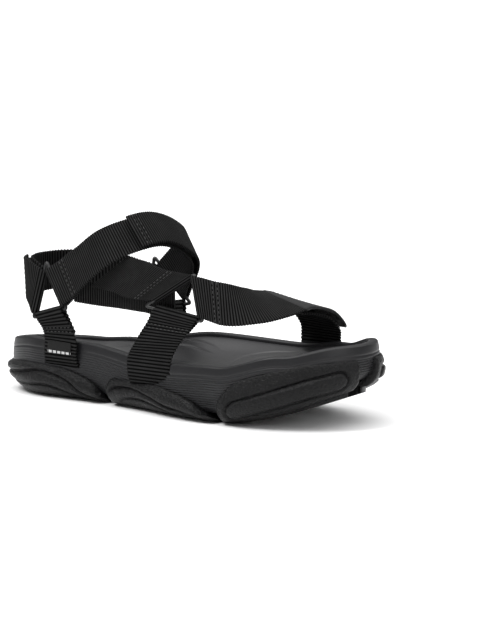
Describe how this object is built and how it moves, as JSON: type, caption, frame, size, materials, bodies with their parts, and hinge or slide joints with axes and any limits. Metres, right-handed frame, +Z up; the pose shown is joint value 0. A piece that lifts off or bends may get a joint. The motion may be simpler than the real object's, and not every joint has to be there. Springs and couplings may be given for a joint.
{
  "type": "strappy sport sandal",
  "caption": "Right-foot sport sandal with a chunky podded sole, webbing straps on triangle rings, and hook-and-loop closures that peel open at the ankle, heel and forefoot",
  "frame": {"origin": "middle of the overall box in plan, at the floor under the outsole", "axes": "+X to the toe, +Y to the medial side of the right foot, +Z up"},
  "size_m": [0.29, 0.1044, 0.1307],
  "materials": {
    "eva_foam": "moulded matte EVA foam, near black",
    "footbed_foam": "moulded footbed foam, charcoal",
    "outsole_rubber": "moulded grained rubber, near black",
    "webbing": "ribbed woven webbing, black",
    "tab_webbing": "fine woven webbing, charcoal black",
    "label": "woven label, black with a grey woven line",
    "hook_loop_tape": "fuzzy hook-and-loop tape, black",
    "ring_plastic": "moulded black plastic"
  },
  "bodies": {
    "sandal": {"midsole": "eva_foam", "footbed": "footbed_foam", "outsole_heel": "outsole_rubber", "outsole_mid_lateral": "outsole_rubber", "outsole_mid_medial": "outsole_rubber", "outsole_forefoot_lateral": "outsole_rubber", "outsole_forefoot_medial": "outsole_rubber", "outsole_toe": "outsole_rubber", "ring_heel_lateral": "ring_plastic", "ring_front_lateral": "ring_plastic", "ring_medial": "ring_plastic", "heel_loop_lateral": "webbing", "woven_label": "label", "mid_loop_lateral": "webbing", "arch_riser_medial": "webbing", "forefoot_riser_medial": "webbing", "ankle_strap": "webbing", "heel_strap": "webbing", "side_band": "webbing", "side_band_lining": "webbing", "forefoot_strap": "webbing", "ankle_loop_tape": "hook_loop_tape", "heel_loop_tape": "hook_loop_tape", "forefoot_loop_tape": "hook_loop_tape"},
    "ankle_closure": {"ankle_flap": "webbing", "ankle_hook_tape": "hook_loop_tape"},
    "heel_closure": {"heel_flap": "webbing", "heel_hook_tape": "hook_loop_tape"},
    "forefoot_closure": {"forefoot_tab": "tab_webbing", "forefoot_hook_tape": "hook_loop_tape"}
  },
  "joints": [
    {"name": "ankle_peel", "type": "hinge", "parent": "sandal", "child": "ankle_closure", "pos_m": [-0.03827, 0.03672, 0.07722], "axis": [-0.682, -0.0704, 0.7279], "range_deg": [0, 100]},
    {"name": "heel_peel", "type": "hinge", "parent": "sandal", "child": "heel_closure", "pos_m": [-0.09797, -0.03564, 0.07355], "axis": [0.2312, 0.087, 0.969], "range_deg": [0, 105]},
    {"name": "forefoot_peel", "type": "hinge", "parent": "sandal", "child": "forefoot_closure", "pos_m": [0.07039, 0.01797, 0.07585], "axis": [0.9727, 0.0497, -0.2266], "range_deg": [0, 120]}
  ]
}
